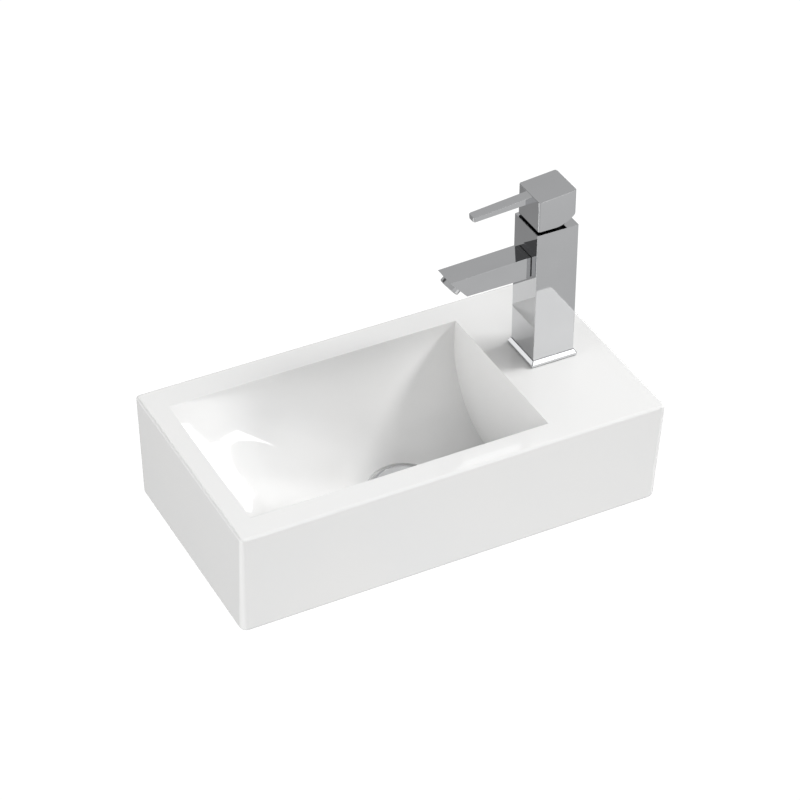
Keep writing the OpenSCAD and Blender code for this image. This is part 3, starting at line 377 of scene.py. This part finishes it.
def basinSolid():
    bm = bmesh.new()
    weight = bm.edges.layers.float.new("bevel_weight_edge")
    profile = [(b[1], b[0]) for b in arcPoints(basin["edgeBottom"], basin["edgeBottom"], basin["edgeBottom"],
                                              270, 180, 7)]
    profile += [(basin["height"] - basin["edgeTop"] + basin["edgeTop"] * math.sin(math.radians(a)),
                 basin["edgeTop"] * (1 - math.cos(math.radians(a))))
                for a in (0, 13, 26, 39, 52, 65, 78, 90)]
    rings = []
    for h, inset in profile:
        rings.append([bm.verts.new((x, y, basin["low"] + h)) for x, y in slabRing(h, inset)])
    count = len(rings[0])
    for lower, upper in zip(rings, rings[1:]):
        for k in range(count):
            n = (k + 1) % count
            bm.faces.new((lower[k], lower[n], upper[n], upper[k]))
    bm.faces.new(list(reversed(rings[0])))

    angles = [-90, -85.5] + [-81 + 3 * k for k in range(55)] + [85.5, 90]
    columns = 72
    backReach, frontReach = -bowl["back"] - deepY, basin["width"] - bowl["front"] + deepY
    grid = []
    for angle in angles:
        reach, depthShare = rowShare(angle)
        y = deepY + reach * (frontReach if angle < 0 else backReach)
        rowDepth = bowl["depth"] * depthShare
        crease = bowlRight - bowl["lean"] * rowDepth
        row = []
        for i in range(columns + 1):
            x = bowlLeft + (crease - bowlLeft) * i / columns
            z = rimZ - rowDepth * rampShare((x - bowlLeft) / (drainX - bowlLeft))
            row.append(bm.verts.new((x, y, min(z, blended(x, y, z)))))
        grid.append(row)
    for lower, upper in zip(grid, grid[1:]):
        for i in range(columns):
            bm.faces.new((lower[i], upper[i], upper[i + 1], lower[i + 1]))
    wallSteps = 12
    wall = []
    for row in grid:
        foot = row[-1].co
        line = [row[-1]]
        for k in range(1, wallSteps + 1):
            z = foot.z + (rimZ - foot.z) * k / wallSteps
            line.append(bm.verts.new((bowlRight - bowl["lean"] * (rimZ - z), foot.y, z)))
        wall.append(line)
    for lower, upper in zip(wall, wall[1:]):
        for k in range(wallSteps):
            bm.faces.new((lower[k], upper[k], upper[k + 1], lower[k + 1]))
    bmesh.ops.remove_doubles(bm, verts=bm.verts, dist=cleaning["weld"])

    openEdges = [e for e in bm.edges if e.is_boundary]
    margin = basin["rimMargin"]
    for edge in openEdges:  # the bowl's rim gets the full round, the slab's own edge none
        middle = (edge.verts[0].co + edge.verts[1].co) / 2
        if abs(middle.x) < basin["length"] / 2 - margin and -basin["width"] + margin < middle.y < -margin:
            edge[weight] = 1.0
    bmesh.ops.triangle_fill(bm, edges=openEdges, use_beauty=True)
    for edge in bm.edges:
        if edge.is_boundary or len(edge.link_faces) != 2:
            continue
        a, b = edge.verts
        onCrease = all(abs(v.co.x - (bowlRight - bowl["lean"] * (rimZ - v.co.z))) < cleaning["near"]
                       for v in (a, b))
        lower, upper = sorted((a.co.z, b.co.z))
        belowRim = lower < rimZ - basin["creaseEnd"] and upper < rimZ - cleaning["atRim"]
        if onCrease and belowRim and edge.calc_face_angle(0) > basin["creaseAngle"]:
            edge[weight] = basin["creaseRound"] / basin["rimRound"]
    obj = meshObject("basinGlazed", bm, whiteGlaze)
    addBevel(obj, basin["rimRound"], 4, byWeight=True)
    applyModifiers(obj)
    return obj


def hollowSolid():
    bm = bmesh.new()
    leftX = -basin["length"] / 2 + basin["endDraft"] + basin["wall"]
    rightX = -leftX
    ceilingZ = rimZ - basin["deck"]
    depth = bowl["depth"] + bowl["wall"]
    rampX = bowlLeft - bowl["rampWall"]
    backReach = -bowl["back"] - deepY + bowl["wall"]
    frontReach = basin["width"] - bowl["front"] + deepY + bowl["wall"]
    frontY = -basin["width"] + basin["frontDraft"] + basin["wall"]
    firstShare = min((deepY - frontY) / frontReach, 1.0)
    firstAngle = -math.degrees(math.asin(firstShare ** (bowl["frontPower"] / 2)))
    steepX = bowlRight + bowl["wall"] - bowl["lean"] * basin["deck"]
    rows, columns = 44, 50
    lines = []
    for j in range(rows + 1):
        reach, share = rowShare(firstAngle + (90 - firstAngle) * j / rows)
        lines.append((deepY + reach * (frontReach if reach < 0 else backReach), depth * share))
    lines.append((-basin["wall"], 0.0))
    grid = []
    for y, rowDepth in lines:
        steepRun = bowl["lean"] * max(rowDepth - basin["deck"], 0) + bowl["hollowStep"]
        row = []
        for i in range(columns + 1):
            x = leftX + (steepX - steepRun - leftX) * i / columns
            z = rimZ - rowDepth * rampShare((x - rampX) / (drainX - rampX))
            row.append(bm.verts.new((x, y, min(ceilingZ, z))))
        row += [bm.verts.new((steepX, y, ceilingZ)), bm.verts.new((rightX, y, ceilingZ))]
        grid.append(row)
    for lower, upper in zip(grid, grid[1:]):
        for i in range(len(lower) - 1):
            bm.faces.new((lower[i], lower[i + 1], upper[i + 1], upper[i]))
    loop = grid[0] + [row[-1] for row in grid[1:]] + list(reversed(grid[-1][:-1])) \
        + [row[0] for row in reversed(grid[1:-1])]
    foot = [bm.verts.new((v.co.x, v.co.y, basin["low"] - spare)) for v in loop]
    for k in range(len(loop)):
        n = (k + 1) % len(loop)
        bm.faces.new((loop[k], foot[k], foot[n], loop[n]))
    bm.faces.new(foot)
    hollow = meshObject("hollowTool", bm, whiteGlaze)
    cutWith(hollow, cylinderTool("bossTool", bowl["seatRadius"], seatUnderZ, seatUnderZ + bowl["depth"],
                                 drainX, drainY))
    return hollow


basinBody = basinSolid()
print("basin surface:", len(basinBody.data.polygons), "faces")
cutWith(basinBody, hollowSolid())
cutWith(basinBody, cylinderTool("seatTool", bowl["seatRadius"], seatZ, seatZ + bowl["seatReach"],
                                drainX, drainY))
cutWith(basinBody, cylinderTool("wasteTool", bowl["holeRadius"], basin["low"] - 10 * spare, 0.0,
                                drainX, drainY))
cutWith(basinBody, cylinderTool("tapTool", holes["tapRadius"], rimZ - basin["deck"] - spare, rimZ + spare,
                                holes["tapX"], holes["tapY"]))
for side in (-1, 1):
    cutWith(basinBody, cylinderTool("fixingTool", holes["fixingRadius"], -basin["wall"] - spare, spare,
                                    side * holes["fixingSpacing"] / 2, 0.0, "y", 48))
for poly in basinBody.data.polygons:
    poly.use_smooth = True
basinBody.data.set_sharp_from_angle(angle=math.radians(basin["sharpAngle"]))
basinBody.data.materials.clear()
basinBody.data.materials.append(whiteGlaze)
addWeighted(basinBody)
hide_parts("basin")
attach(basinBody, "fixed")
print("basin done:", len(basinBody.data.polygons), "faces")


# The tap's own frame has its axis on the ledge and +X pointing over the bowl
tapFrame = Matrix.Translation((holes["tapX"], holes["tapY"], rimZ)) @ Matrix.Rotation(math.pi, 4, "Z")
tapEdges = {"tap_body": (0.0005, 3, 60.0), "tap_base_plate": (0.0004, 2, 25.0), "spout": (0.0007, 4, 40.0)}
for nodeName, (width, segments, angle) in tapEdges.items():
    dressed(nodeName, width, segments, angle)
print("column, plate and spout dressed")

handle = {"half": 0.0206, "foot": 0.157, "frontHeight": 0.0334, "slope": 5.4, "corner": 0.0025,
          "topRound": 0.0004, "footRound": 0.0004, "scoopStart": 0.004, "scoopRadius": 0.032,
          "scoopHalf": 0.03, "cavityHalf": 0.0179, "cavityTop": 0.1686, "socketHalf": 0.0041,
          "socketTop": 0.1846, "screwZ": 0.1766, "screwRadius": 0.00255, "screwEnd": -0.004,
          "coverRadius": 0.0036, "coverDepth": 0.003, "sharpAngle": 32.0, "cavitySkin": 0.0001,
          "footSkin": 0.0005}
lever = {"length": 0.0635, "rootX": -0.006, "rootWidth": 0.012, "tipWidth": 0.0106, "rootThick": 0.0076,
         "tipThick": 0.006, "tipThinning": 0.0004, "chamfer": 0.0011, "tipCorner": 0.0025, "soften": 0.0003,
         "sink": 0.00012}


def lofted(rings, name, material, smoothAngle=35.0):
    bm = bmesh.new()
    loops = [[bm.verts.new(p) for p in ring] for ring in rings]
    for lower, upper in zip(loops, loops[1:]):
        for k in range(len(lower)):
            n = (k + 1) % len(lower)
            bm.faces.new((lower[k], lower[n], upper[n], upper[k]))
    bm.faces.new(list(reversed(loops[0])))
    bm.faces.new(loops[-1])
    return meshObject(name, bm, material, smoothAngle)


def boxTool(low, high):
    x0, y0, z0 = low
    x1, y1, z1 = high
    return lofted([[(x0, y0, z), (x1, y0, z), (x1, y1, z), (x0, y1, z)] for z in (z0, z1)], "boxTool",
                  polishedChrome)


def boreTool(radius, x0, x1, z):
    ring = arcPoints(0.0, z, radius, 0, 360, 40)[:-1]
    return lofted([[(x, y, up) for y, up in ring] for x in (x0, x1)], "boreTool", polishedChrome)


def joinWith(obj, other):
    union = obj.modifiers.new("join", "BOOLEAN")
    union.operation = "UNION"
    union.solver = "EXACT"
    union.object = other
    applyModifiers(obj)
    bpy.data.objects.remove(other, do_unlink=True)


def handleBlock():
    h = handle
    tilt = math.tan(math.radians(h["slope"]))

    def ring(inset, height):
        side = h["half"] - inset
        return [(x, y, height(x)) for x, y in roundedRing(-side, -side, side, side, h["corner"] - inset, 10)]

    def topAt(drop):
        return lambda x: h["foot"] + h["frontHeight"] + (h["half"] - x) * tilt - drop

    rings = [ring(h["footRound"] * (1 - math.sin(math.radians(a))),
                  lambda x, a=a: h["foot"] + h["footRound"] * (1 - math.cos(math.radians(a))))
             for a in (0, 45, 90)]
    rings += [ring(h["topRound"] * (1 - math.cos(math.radians(a))),
                   topAt(h["topRound"] * (1 - math.sin(math.radians(a)))))
              for a in (0, 22.5, 45, 67.5, 90)]
    block = lofted(rings, "handleFinished", polishedChrome)
    reach = math.degrees(math.asin((h["half"] + h["scoopStart"] + spare) / h["scoopRadius"]))
    steps = 24
    arc = [(h["scoopStart"] - h["scoopRadius"] * math.sin(math.radians(reach * k / steps)),
            h["foot"] + h["scoopRadius"] * (1 - math.cos(math.radians(reach * k / steps))))
           for k in range(steps + 1)]
    under = h["foot"] - spare
    side = [(h["scoopStart"], under)] + arc + [(arc[-1][0], under)]
    ends = (-h["scoopHalf"], h["scoopHalf"])
    cutWith(block, lofted([[(x, y, z) for x, z in side] for y in ends], "scoopTool", polishedChrome))
    c, s = h["cavityHalf"], h["socketHalf"]
    cutWith(block, boxTool((-c, -c, under), (c, c, h["cavityTop"])))
    cutWith(block, boxTool((-s, -s, h["foot"]), (s, s, h["socketTop"])))
    back = -h["half"]
    cutWith(block, boreTool(h["screwRadius"], back - spare, h["screwEnd"], h["screwZ"]))
    cutWith(block, boreTool(h["coverRadius"], back - spare, back + h["coverDepth"], h["screwZ"]))
    return block


def leverBar():
    v = lever
    stations = [(v["rootX"], v["rootWidth"], v["rootThick"])]
    for k in range(7):
        a = math.radians(15 * k)
        x = v["length"] - v["tipCorner"] * (1 - math.sin(a))
        narrowed = v["tipWidth"] - 2 * v["tipCorner"] * (1 - math.cos(a))
        stations.append((x, narrowed, v["tipThick"] - v["tipThinning"] * (1 - math.cos(a))))
    c = v["chamfer"]
    rings = [[(x, w / 2, -t), (x, w / 2, -c), (x, w / 2 - c, 0.0), (x, -w / 2 + c, 0.0), (x, -w / 2, -c),
              (x, -w / 2, -t)] for x, w, t in stations]
    bar = lofted(rings, "leverBar", polishedChrome)
    addBevel(bar, v["soften"], 2, 28.0)
    applyModifiers(bar)
    slope = Matrix.Translation((handle["half"], 0, handle["foot"] + handle["frontHeight"] - v["sink"])) \
        @ Matrix.Rotation(math.radians(handle["slope"]), 4, "Y")
    bar.data.transform(slope)
    return bar


handleBody = handleBlock()
joinWith(handleBody, leverBar())
withoutSlivers(handleBody)
handleBody.data.transform(tapFrame)
for poly in handleBody.data.polygons:
    poly.use_smooth = True
handleBody.data.set_sharp_from_angle(angle=math.radians(handle["sharpAngle"]))
handleBody.data.materials.clear()
handleBody.data.materials.append(polishedChrome)
handleBody.data.materials.append(paintedShadeCasting)
inverse = tapFrame.inverted()
skin = handle["cavitySkin"]
for poly in handleBody.data.polygons:  # painted shade: the underside and the cavity get a near-black finish so the gap under the handle reads dark
    at = inverse @ poly.center
    inCavity = max(abs(at.x), abs(at.y)) < handle["cavityHalf"] + skin and at.z < handle["cavityTop"] + skin
    underside = poly.normal.z < -0.9 and at.z < handle["foot"] + handle["footSkin"]
    if inCavity or underside:
        poly.material_index = 1
addWeighted(handleBody)
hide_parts("handle")
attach(handleBody, "lever")
print("handle done:", len(handleBody.data.polygons), "faces")

drain = {"capRadius": 0.0285, "capThick": 0.0022, "capCrown": 0.001, "capZ": -0.0318, "bossRadius": 0.006,
         "bossHeight": 0.0028, "boreRadius": 0.00305, "boreDepth": 0.0038, "flangeEdge": 0.0003}
aerator = {"outer": 0.011, "bore": 0.0081, "out": 0.0055, "thread": 0.009, "threadLength": 0.0036,
           "round": 0.001, "x": 0.10245, "z": 0.1114, "tilt": 48.19}


def plugCap():
    d = drain
    rim = d["capThick"] / 2
    flat = d["capRadius"] - rim
    sphere = (d["capRadius"] ** 2 + d["capCrown"] ** 2) / (2 * d["capCrown"])
    crownZ = d["capZ"] + d["capThick"] + d["capCrown"] - sphere
    bossZ = d["capZ"] - d["bossHeight"]
    boreZ = bossZ + d["boreDepth"]
    profile = [(0, boreZ), (d["boreRadius"], boreZ), (d["boreRadius"], bossZ), (d["bossRadius"], bossZ),
               (d["bossRadius"], d["capZ"]), (d["capRadius"] - rim / 2, d["capZ"]),
               (d["capRadius"], d["capZ"] + rim / 2)]
    profile += arcPoints(flat, d["capZ"] + d["capThick"] - rim, rim, 0, 90, 8)
    steps = 16
    for k in range(1, steps + 1):
        r = flat * (1 - k / steps)
        profile.append((r, crownZ + math.sqrt(sphere ** 2 - r ** 2)))
    place = Matrix.Translation((drainX, drainY, 0))
    return lathe("plugCapTurned", profile, polishedChrome, place, 160, 30.0)


def aeratorRing():
    a = aerator
    mouth = a["outer"] - a["round"]
    profile = [(a["bore"], -a["threadLength"]), (a["thread"], -a["threadLength"]), (a["thread"], 0.0),
               (a["outer"], 0.0)]
    profile += arcPoints(mouth, a["out"] - a["round"], a["round"], 0, 90, 6) + [(a["bore"], a["out"])]
    place = tapFrame @ Matrix.Translation((a["x"], 0, a["z"])) \
        @ Matrix.Rotation(math.radians(180 - a["tilt"]), 4, "Y")
    return lathe("aeratorTurned", profile, polishedChrome, place, 96, 30.0)


for piece, node in ((plugCap(), "plug_cap"), (aeratorRing(), "aerator_housing")):
    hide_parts(node)
    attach(piece, bodyOf[node])
dressed("waste_body", drain["flangeEdge"], 2, 25.0)
print("waste and aerator done")


studio = {"floorZ": -0.62, "floorSize": 14.0, "across": (0.45, -0.89, 0.0), "fadeReach": 1.6,
          "floorNear": 0.60, "floorFar": 0.25, "paper": 1.05, "patchPlace": (-0.85, -0.63, 0.0),
          "patchInner": 0.2, "patchOuter": 0.45, "patchLevel": 1.5, "skyTop": 0.52, "skyLow": 0.47,
          "flag": (-0.363, 0.712, 0.602), "flagStart": 0.88, "flagFull": 0.95, "flagLevel": 0.2,
          "ambient": 0.64, "wall": (0.82, 0.83, 0.84), "lampAim": (-0.1, -0.12, 0.03), "lampDistance": 2.2}
view = {"place": (-1.0166, -2.1186, 1.7578), "aim": (0.0719, 0.0162, -0.06), "lens": 129.6, "sensor": 36.0,
        "clipEnd": 50.0}
# toward is degrees round from +X and up; a mirrored lamp shows in reflections, tapOnly lights only the chrome
softboxes = {
    "rightSoftbox": {"toward": (-8, 36), "width": 3.4, "height": 1.2, "power": 490, "distance": 8.0},
    "frontSoftbox": {"toward": (-90, -37), "width": 1.0, "height": 0.2, "power": 2.8,
                     "aim": (0.0, -0.25, 0.0), "distance": 0.88},
    "leftSoftbox": {"toward": (180, 5), "width": 1.2, "height": 0.8, "power": 21},
    "backWallSoftbox": {"toward": (-95, 32), "width": 1.0, "height": 0.6, "power": 5.5},
    "fillSoftbox": {"toward": (-40, 45), "width": 1.2, "height": 0.9, "power": 6.8},
    "steepWallSoftbox": {"toward": (186, 23), "width": 0.8, "height": 0.5, "power": 4.2,
                         "distance": 1.6},
    "rampSoftbox": {"toward": (46, 6.7), "width": 0.29, "height": 0.42, "power": 1.4, "tilt": -14,
                    "mirrored": True},
    "rimSoftbox": {"toward": (51.2, 16), "width": 0.11, "height": 0.38, "power": 0.5, "tilt": -19,
                   "mirrored": True},
    "slopeSoftbox": {"toward": (35, 16), "width": 0.6, "height": 0.4, "power": 2.6, "tilt": -45,
                     "mirrored": True},
    "plateSoftbox": {"toward": (-67, 22), "width": 0.16, "height": 0.12, "power": 0.09, "mirrored": True,
                     "aim": (0.165, -0.135, 0.066), "distance": 0.6, "tapOnly": True},
    "bevelSoftbox": {"toward": (134, 5), "width": 0.14, "height": 0.14, "power": 0.04, "mirrored": True,
                     "aim": (0.142, -0.113, 0.066), "distance": 0.6, "tapOnly": True},
    "edgeSoftbox": {"toward": (-60, 42), "width": 1.3, "height": 0.3, "power": 1.9, "mirrored": True,
                    "aim": (0.12, -0.12, 0.15), "tapOnly": True},
}

floorMesh = bmesh.new()
half = studio["floorSize"] / 2
corners = [floorMesh.verts.new((x * half, y * half, studio["floorZ"]))
           for x, y in ((-1, -1), (1, -1), (1, 1), (-1, 1))]
floorMesh.faces.new(corners)
# painted light: for bounced light and reflections the floor glows as a lamp, darker towards the back-left,
# while the camera sees plain white paper
paleFloor, nodes, links, shader = newMaterial("paleFloor")
place = nodes.new("ShaderNodeTexCoord").outputs["Object"]
across = nodes.new("ShaderNodeVectorMath")
across.operation = "DOT_PRODUCT"
across.inputs[1].default_value = studio["across"]
links.new(place, across.inputs[0])
fade = nodes.new("ShaderNodeMapRange")
fade.inputs["From Min"].default_value = -studio["fadeReach"]
fade.inputs["From Max"].default_value = studio["fadeReach"]
links.new(across.outputs["Value"], fade.inputs["Value"])
shade = rampBetween(nodes, links, fade.outputs["Result"], (studio["floorFar"],) * 3,
                    (studio["floorNear"],) * 3, 0.0, 1.0)
spread = nodes.new("ShaderNodeVectorMath")  # a bright patch, mirrored by the tap's rounded upright edges
spread.operation = "DISTANCE"
spread.inputs[1].default_value = studio["patchPlace"]
links.new(place, spread.inputs[0])
patch = nodes.new("ShaderNodeMapRange")
patch.inputs["From Min"].default_value = studio["patchOuter"]
patch.inputs["From Max"].default_value = studio["patchInner"]
patch.inputs["To Min"].default_value = 1.0
patch.inputs["To Max"].default_value = studio["patchLevel"] / studio["floorNear"]
links.new(spread.outputs["Value"], patch.inputs["Value"])
glow = nodes.new("ShaderNodeEmission")
links.new(shade, glow.inputs["Color"])
links.new(patch.outputs["Result"], glow.inputs["Strength"])
paper = nodes.new("ShaderNodeEmission")
paper.inputs["Color"].default_value = (1, 1, 1, 1)
paper.inputs["Strength"].default_value = studio["paper"]
seen = nodes.new("ShaderNodeLightPath")
pick = nodes.new("ShaderNodeMixShader")
links.new(seen.outputs["Is Camera Ray"], pick.inputs["Fac"])
links.new(glow.outputs["Emission"], pick.inputs[1])
links.new(paper.outputs["Emission"], pick.inputs[2])
below = nodes.new("ShaderNodeMixShader")  # seen from below, the floor is clear, so the underside shows
links.new(nodes.new("ShaderNodeNewGeometry").outputs["Backfacing"], below.inputs["Fac"])
links.new(pick.outputs["Shader"], below.inputs[1])
links.new(nodes.new("ShaderNodeBsdfTransparent").outputs["BSDF"], below.inputs[2])
links.new(below.outputs["Shader"], nodes["Material Output"].inputs["Surface"])
floor = meshObject("studioFloor", floorMesh, paleFloor)

world = bpy.data.worlds.new("studioWorld")
bpy.context.scene.world = world
world.use_nodes = True
worldNodes, worldLinks = world.node_tree.nodes, world.node_tree.links
background = worldNodes["Background"]
direction = worldNodes.new("ShaderNodeTexCoord").outputs["Generated"]
split = worldNodes.new("ShaderNodeSeparateXYZ")
worldLinks.new(direction, split.inputs[0])
sky = rampBetween(worldNodes, worldLinks, split.outputs["Z"], (studio["skyLow"],) * 3,
                  (studio["skyTop"],) * 3, 0.3, 1.0)
flag = worldNodes.new("ShaderNodeVectorMath")  # a dark flag behind and to the left, which the chrome mirrors
flag.operation = "DOT_PRODUCT"
flag.inputs[1].default_value = Vector(studio["flag"]).normalized()
worldLinks.new(direction, flag.inputs[0])
flagShade = rampBetween(worldNodes, worldLinks, flag.outputs["Value"], (1, 1, 1), (studio["flagLevel"],) * 3,
                        studio["flagStart"], studio["flagFull"])
dim = worldNodes.new("ShaderNodeMix")
dim.data_type = "RGBA"
dim.blend_type = "MULTIPLY"
dim.inputs["Factor"].default_value = 1.0
worldLinks.new(sky, dim.inputs[6])
worldLinks.new(flagShade, dim.inputs[7])
worldLinks.new(dim.outputs[2], background.inputs["Color"])
rays = worldNodes.new("ShaderNodeLightPath")
ambient = worldNodes.new("ShaderNodeMapRange")  # less light on dull surfaces than in reflections
ambient.inputs["To Min"].default_value = 1.0
ambient.inputs["To Max"].default_value = studio["ambient"]
worldLinks.new(rays.outputs["Is Diffuse Ray"], ambient.inputs["Value"])
worldLinks.new(ambient.outputs["Result"], background.inputs["Strength"])
paleWall = worldNodes.new("ShaderNodeBackground")
paleWall.inputs["Color"].default_value = (*studio["wall"], 1.0)
behind = worldNodes.new("ShaderNodeMixShader")
worldLinks.new(rays.outputs["Is Camera Ray"], behind.inputs["Fac"])
worldLinks.new(background.outputs["Background"], behind.inputs[1])
worldLinks.new(paleWall.outputs["Background"], behind.inputs[2])
worldLinks.new(behind.outputs["Shader"], worldNodes["World Output"].inputs["Surface"])


def softLight(name, values):
    aim = values.get("aim", studio["lampAim"])
    distance = values.get("distance", studio["lampDistance"])
    lamp = bpy.data.lights.new(name, "AREA")
    lamp.shape = "RECTANGLE"
    lamp.size, lamp.size_y, lamp.energy = values["width"], values["height"], values["power"]
    turn, lift = (math.radians(a) for a in values["toward"])
    out = Vector((math.cos(turn) * math.cos(lift), math.sin(turn) * math.cos(lift), math.sin(lift)))
    roll = Matrix.Rotation(math.radians(values.get("tilt", 0)), 4, "Z")
    obj = bpy.data.objects.new(name, lamp)
    obj.matrix_world = Matrix.Translation(Vector(aim) + distance * out) \
        @ (-out).to_track_quat("-Z", "Y").to_matrix().to_4x4() @ roll
    obj.visible_glossy = values.get("mirrored", False)
    obj.visible_camera = False
    if values.get("tapOnly"):
        obj.light_linking.receiver_collection = tapPieces
    bpy.context.scene.collection.objects.link(obj)


tapPieces = bpy.data.collections.new("tapPieces")
for obj in bpy.context.scene.objects:
    if obj.type == "MESH" and obj.data.materials and obj.data.materials[0] == polishedChrome:
        tapPieces.objects.link(obj)
for name, values in softboxes.items():
    softLight(name, values)

cameraData = bpy.data.cameras.new("camera")
cameraData.lens = view["lens"]
cameraData.sensor_width = view["sensor"]
cameraData.clip_end = view["clipEnd"]
camera = bpy.data.objects.new("camera", cameraData)
camera.location = view["place"]
camera.rotation_euler = (Vector(view["aim"]) - Vector(view["place"])).to_track_quat("-Z", "Y").to_euler()
bpy.context.scene.collection.objects.link(camera)
bpy.context.scene.camera = camera
bpy.context.scene.view_settings.view_transform = "Standard"
print("stage and camera set")
